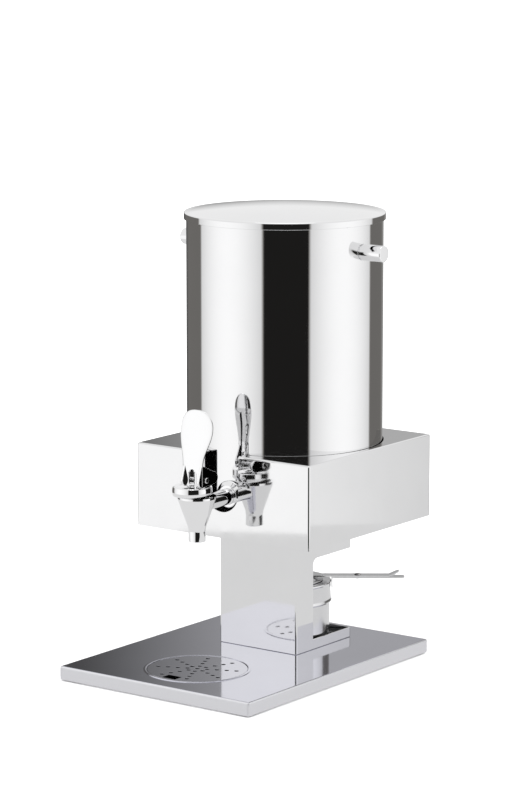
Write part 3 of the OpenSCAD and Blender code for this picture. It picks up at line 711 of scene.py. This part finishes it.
pin_half = (hi("lever_pin").x - lo("lever_pin").x) / 2
lever_pin = lathe("lever_pin_skin", rounded([
    (0, -pin_half), (3, -pin_half, 1.1), (3, -fork_r), (1.5, -fork_r), (1.5, fork_r), (3, fork_r),
    (3, pin_half, 1.1), (0, pin_half)], 6), 48, (tap_x, tap_y, pivot_z), (1, 0, 0))
finish_piece(lever_pin, "lever", "plain_steel", chrome, "lever_pin")

# ---------------------------------------------------------------- burner

can_lo, can_hi = lo("burner_can"), hi("burner_can")
can_r = (can_hi.x - can_lo.x) / 2
can = lathe("burner_can_skin", rounded([
    (0, can_lo.z), (can_r, can_lo.z, 8), (can_r, can_hi.z), (can_r - 0.8, can_hi.z),
    (can_r - 0.8, can_lo.z + 0.8, 7.2), (0, can_lo.z + 0.8)], 10), 128, (0, burner_y, 0))
finish_piece(can, "burner", "burner_steel", rolled, "burner_can")

ring_lo, ring_hi = lo("burner_ring"), hi("burner_ring")
ring_r = (ring_hi.x - ring_lo.x) / 2
FLAME_R = 30
ring = lathe("burner_ring_skin", rounded([
    (can_r, ring_lo.z, 0.3), (ring_r - 0.6, ring_lo.z, 0.6), (ring_r, ring_lo.z + 1.6, 0.9),
    (ring_r - 0.9, ring_lo.z + 4, 1.2), (ring_r - 1.35, ring_lo.z + 11), (ring_r - 1.35, ring_hi.z - 3, 0.6),
    (ring_r - 0.75, ring_hi.z - 1.6, 0.5), (ring_r - 1.3, ring_hi.z, 0.7), (FLAME_R, ring_hi.z, 0.5),
    (FLAME_R, ring_hi.z - 1.6), (FLAME_R + 1, ring_hi.z - 1.6), (FLAME_R + 1, ring_hi.z - 1),
    (can_r - 0.2, ring_hi.z - 1), (can_r, ring_hi.z - 2)], 6), 128, (0, burner_y, 0))
finish_piece(ring, "burner", "burner_steel", rolled, "burner_ring")

cover_lo, cover_hi = lo("burner_cover"), hi("burner_cover")
cover_r = (cover_hi.x - cover_lo.x) / 2
cover = lathe("burner_cover_skin", rounded([
    (0, cover_hi.z - 1.2), (27.6, cover_hi.z - 1.2, 3), (33.6, cover_lo.z, 3), (cover_r, cover_lo.z, 0.4),
    (cover_r, cover_lo.z + 1.2, 0.5), (34, cover_lo.z + 1.2, 3), (28, cover_hi.z, 3), (0, cover_hi.z)], 6),
    128, (0, burner_y, 0))
finish_piece(cover, "cover", "burner_steel", rolled, "burner_cover")

rivet_at = mid("pivot_rivet")
along = math.atan2(rivet_at.y - burner_y, rivet_at.x)
handle_frame = Matrix.Translation((0, burner_y, 0)) @ Matrix.Rotation(along, 4, "Z")
on_edge = Matrix(((1, 0, 0, 0), (0, 0, 1, 0), (0, 1, 0, 0), (0, 0, 0, 1)))
STRIP_W, STRIP_T = 12, 1.4
strip_z = hi("burner_handle").z - STRIP_T
handle_end = (hi("burner_handle").x - math.sin(along) * STRIP_W / 2) / math.cos(along)
tab_r = ring_r - 0.7


def strip(name, path, width, thickness, tip):
    """A flat strip bent along (distance, height) points of its underside, with rounded ends at the tip."""
    bm = bmesh.new()
    rows = []
    end = path[-1][0]
    dense = []
    for (x0, z0), (x1, z1) in zip(path, path[1:]):
        count = max(1, int(abs(x1 - x0) / 2.0))
        dense += [(x0 + (x1 - x0) * k / count, z0 + (z1 - z0) * k / count) for k in range(count)]
    dense.append(path[-1])
    fine = [p for p in dense if end - p[0] > tip]
    fine += [(end - tip + tip * math.sin(math.radians(a)), None) for a in (0, 25, 45, 62, 76, 86)]

    def height(x):
        for (x0, z0), (x1, z1) in zip(path, path[1:]):
            if x <= x1 + 1e-9:
                return z0 + (z1 - z0) * (x - x0) / max(1e-9, x1 - x0)
        return path[-1][1]
    for x, z in fine:
        z = height(x) if z is None else z
        t = (x - (end - tip)) / tip
        w = width / 2 * (1 if t <= 0 else 0.35 + 0.65 * math.sqrt(max(0, 1 - t * t)))
        corners = ((x, -w, z), (x, w, z), (x, w, z + thickness), (x, -w, z + thickness))
        rows.append([bm.verts.new(p) for p in corners])
    for a, b in zip(rows, rows[1:]):
        for k in range(4):
            bm.faces.new([a[k], a[(k + 1) % 4], b[(k + 1) % 4], b[k]])
    bm.faces.new(rows[0][::-1])
    bm.faces.new(rows[-1])
    bm.transform(Matrix.Scale(MM, 4) @ handle_frame)
    return from_bmesh(name, bm)


def drill(r, x, z):
    return lathe("cut", [(0, z - 6), (r, z - 6), (r, z + 6), (0, z + 6)], 32, handle_frame @ Vector((x, 0, 0)))


rivet_reach = math.hypot(rivet_at.x, rivet_at.y - burner_y)
handle = strip("burner_handle_skin", [(tab_r + 0.2, strip_z), (handle_end - 12, strip_z), (handle_end, strip_z)],
               STRIP_W, STRIP_T, 5)
tab = prism("part", rounded([
    (tab_r, strip_z - 10, 0.8), (tab_r + STRIP_T, strip_z - 10, 0.5), (tab_r + STRIP_T, strip_z + STRIP_T - 0.3),
    (tab_r, strip_z + STRIP_T, 1.0)], 5), -STRIP_W / 2, STRIP_W / 2, handle_frame @ on_edge)
combine(handle, [tab], "UNION")
combine(handle, [drill(2, rivet_reach, strip_z)])
soften(handle, 0.2, 2, 40)
finish_piece(handle, "burner", "burner_steel", rolled, "burner_handle")

lever_z = strip_z + STRIP_T + 0.2
bend = handle_end - 17
swing = strip("cover_lever_skin", [(18, lever_z), (bend, lever_z), (bend + 10.9, lever_z + 5)],
              STRIP_W, STRIP_T, 5)
combine(swing, [drill(2.06, rivet_reach, lever_z), drill(2, 24, cover_hi.z)])
soften(swing, 0.2, 2, 40)
finish_piece(swing, "cover", "burner_steel", rolled, "cover_lever")

pivot_rivet = lathe("pivot_rivet_skin", rounded([
    (0, strip_z - 1.2), (2.6, strip_z - 1.2, 1), (3.6, strip_z), (2, strip_z), (2, lever_z + STRIP_T),
    (3.6, lever_z + STRIP_T), (2.7, lever_z + STRIP_T + 1.4, 1), (0, lever_z + STRIP_T + 1.4)], 5),
    48, handle_frame @ Vector((rivet_reach, 0, 0)))
finish_piece(pivot_rivet, "burner", "plain_steel", scorched, "pivot_rivet")

# ---------------------------------------------------------------- CAD nodes that stay

# The burner dish and the housing floor take the darker steel too, a painted shade.
KEPT = {
    "base_stiffener": plain, "rubber_feet": rubber, "column_screws": plain, "column_nuts": plain, "burner_dish": inside,
    "housing_floor": inside, "housing_screws": plain, "housing_nuts": plain, "seat_ring": plain, "lid_ring": plain,
    "handle_screws": plain, "handle_washers": rubber, "outer_gasket": rubber, "inner_gasket": rubber,
    "shank_nut": plain, "seat_cup": silicone, "fuel_pad": fibre, "cover_rivet": scorched}
for node, material in KEPT.items():
    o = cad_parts[node]
    o.data.materials.clear()
    o.data.materials.append(material)

# ---------------------------------------------------------------- studio

TO_CAMERA = math.degrees(math.atan2(-LOOKING.x, LOOKING.y))  # from -Y towards +X


def unseen(o, **rays):
    for ray in ("camera", "diffuse", "glossy", "transmission", "volume_scatter", "shadow"):
        setattr(o, "visible_" + ray, rays.get(ray, False))


def node_material(name):
    m = bpy.data.materials.new(name)
    m.use_nodes = True
    m.node_tree.nodes.clear()
    return m, m.node_tree.nodes.new, m.node_tree.links.new


def level(value):
    return (value, value, value, 1)


# A plain studio that only reflections see: two softboxes with a dark flag between them, a dim wall at
# the sides, a graded backdrop and a pale ceiling. Angles are in degrees from the camera's side of the
# object, turning towards +X.
SOFTBOXES = ((-110, -23), (25, 112))
BOX_MIDDLE, BOX_EDGE = 1.1, 0.7
FLAG, DIM_WALL, CEILING, PALE_FLOOR = 0.012, 0.15, 0.9, 0.78
BACKDROP_LEFT, BACKDROP_RIGHT = 0.06, 0.45
SOFT_EDGE = 3
# Where the dark between the softboxes turns into the side walls, and those into the backdrop.
FLAG_TO_SIDES, SIDES_TO_BACK, BACKDROP_TURN = (60, 100), (145, 165), (0, 20)
WARM = (1.04, 1.0, 0.95)
WALL_R, WALL_TOP, CEILING_FROM, CEILING_TO = 0.8, 3.0, 0.45, 0.6


def smooth(x, start, end):
    """Goes from 0 at start to 1 at end."""
    return min(1, max(0, (x - start) / (end - start)))


def mix(a, b, share):
    return a * (1 - share) + b * share


def softboxes(angle, behind):
    """The brightness of the softboxes, which fade out softly into what lies behind them."""
    for start, end in SOFTBOXES:
        inside = min(angle - start, end - angle)
        if inside > 0:
            off_middle = 1 - 2 * inside / (end - start)
            return mix(behind, mix(BOX_MIDDLE, BOX_EDGE, off_middle ** 2), smooth(inside, 0, SOFT_EDGE))
    return behind


def wall_colour(angle, height):
    left_of_back = (angle + 360) % 360 - 180
    backdrop = mix(BACKDROP_RIGHT, BACKDROP_LEFT, smooth(left_of_back, *BACKDROP_TURN))
    back = smooth(abs(angle), *SIDES_TO_BACK)
    dark = mix(FLAG, mix(DIM_WALL, backdrop, back), smooth(abs(angle), *FLAG_TO_SIDES))
    value = softboxes(angle, dark)
    up = smooth(height, CEILING_FROM, CEILING_TO)
    warm = smooth(value, 0.5, 0.3) * (1 - back) * (1 - up)
    value = mix(value, CEILING, up)
    return (*[value * (1 + (c - 1) * warm) for c in WARM], 1)


def lit(name, bm, colour):
    """A piece of the studio that only reflections see; colour gives each corner's brightness."""
    o = from_bmesh(name, bm)
    colours = o.data.color_attributes.new("light", "FLOAT_COLOR", "POINT")
    for i, v in enumerate(o.data.vertices):
        colours.data[i].color = colour(v.co)
    m, add, link = node_material(name)
    out, light = add("ShaderNodeOutputMaterial"), add("ShaderNodeEmission")
    link(light.outputs[0], out.inputs[0])
    attribute = add("ShaderNodeAttribute")
    attribute.attribute_name = "light"
    link(attribute.outputs["Color"], light.inputs["Color"])
    o.data.materials.append(m)
    unseen(o, glossy=True)
    return o


def turn_of(co):
    """The angle of a place round an upright axis, from the camera's side."""
    return (math.degrees(math.atan2(co.x, -co.y)) - TO_CAMERA + 180) % 360 - 180


def grid(rows):
    """Faces between rows of points, each row closed on itself."""
    bm = bmesh.new()
    rows = [[bm.verts.new(p) for p in row] for row in rows]
    for a, b in zip(rows, rows[1:]):
        for k in range(len(a)):
            j = (k + 1) % len(a)
            bm.faces.new([a[k], a[j], b[j], b[k]])
    return bm


def circle_of(r, z, steps=360):
    return [(r * math.sin(2 * math.pi * k / steps), -r * math.cos(2 * math.pi * k / steps), z) for k in range(steps)]


WALL_FOOT, CARD_UP, CARD_HOLE = 0.0003, 0.0004, 0.02
heights = (WALL_FOOT, CEILING_FROM, CEILING_TO, WALL_TOP)
wall = lit("studio_wall", grid([circle_of(WALL_R, z) for z in heights]), lambda co: wall_colour(turn_of(co), co.z))
wall.location = (0, axis_y * MM, 0)
card = lit("floor_card", grid([circle_of(r, CARD_UP) for r in (CARD_HOLE, WALL_R)]), lambda co: level(PALE_FLOOR))
card.location = (0, axis_y * MM, 0)

bm = bmesh.new()
bmesh.ops.create_circle(bm, cap_ends=True, radius=60, segments=96)
floor = from_bmesh("floor", bm)
m, add, link = node_material("floor")
out, paint = add("ShaderNodeOutputMaterial"), add("ShaderNodeBsdfDiffuse")
link(paint.outputs[0], out.inputs[0])
grain = add("ShaderNodeTexNoise")
grain.inputs["Scale"].default_value = 3
ramp = add("ShaderNodeValToRGB")
ramp.color_ramp.elements[0].color, ramp.color_ramp.elements[1].color = level(0.90), level(0.92)
link(grain.outputs[0], ramp.inputs[0])
link(ramp.outputs[0], paint.inputs["Color"])
floor.data.materials.append(m)

world = bpy.data.worlds.new("world")
scene.world = world
world.use_nodes = True
world.node_tree.nodes["Background"].inputs["Color"].default_value = (1, 1, 1, 1)
world.node_tree.nodes["Background"].inputs["Strength"].default_value = 1.8
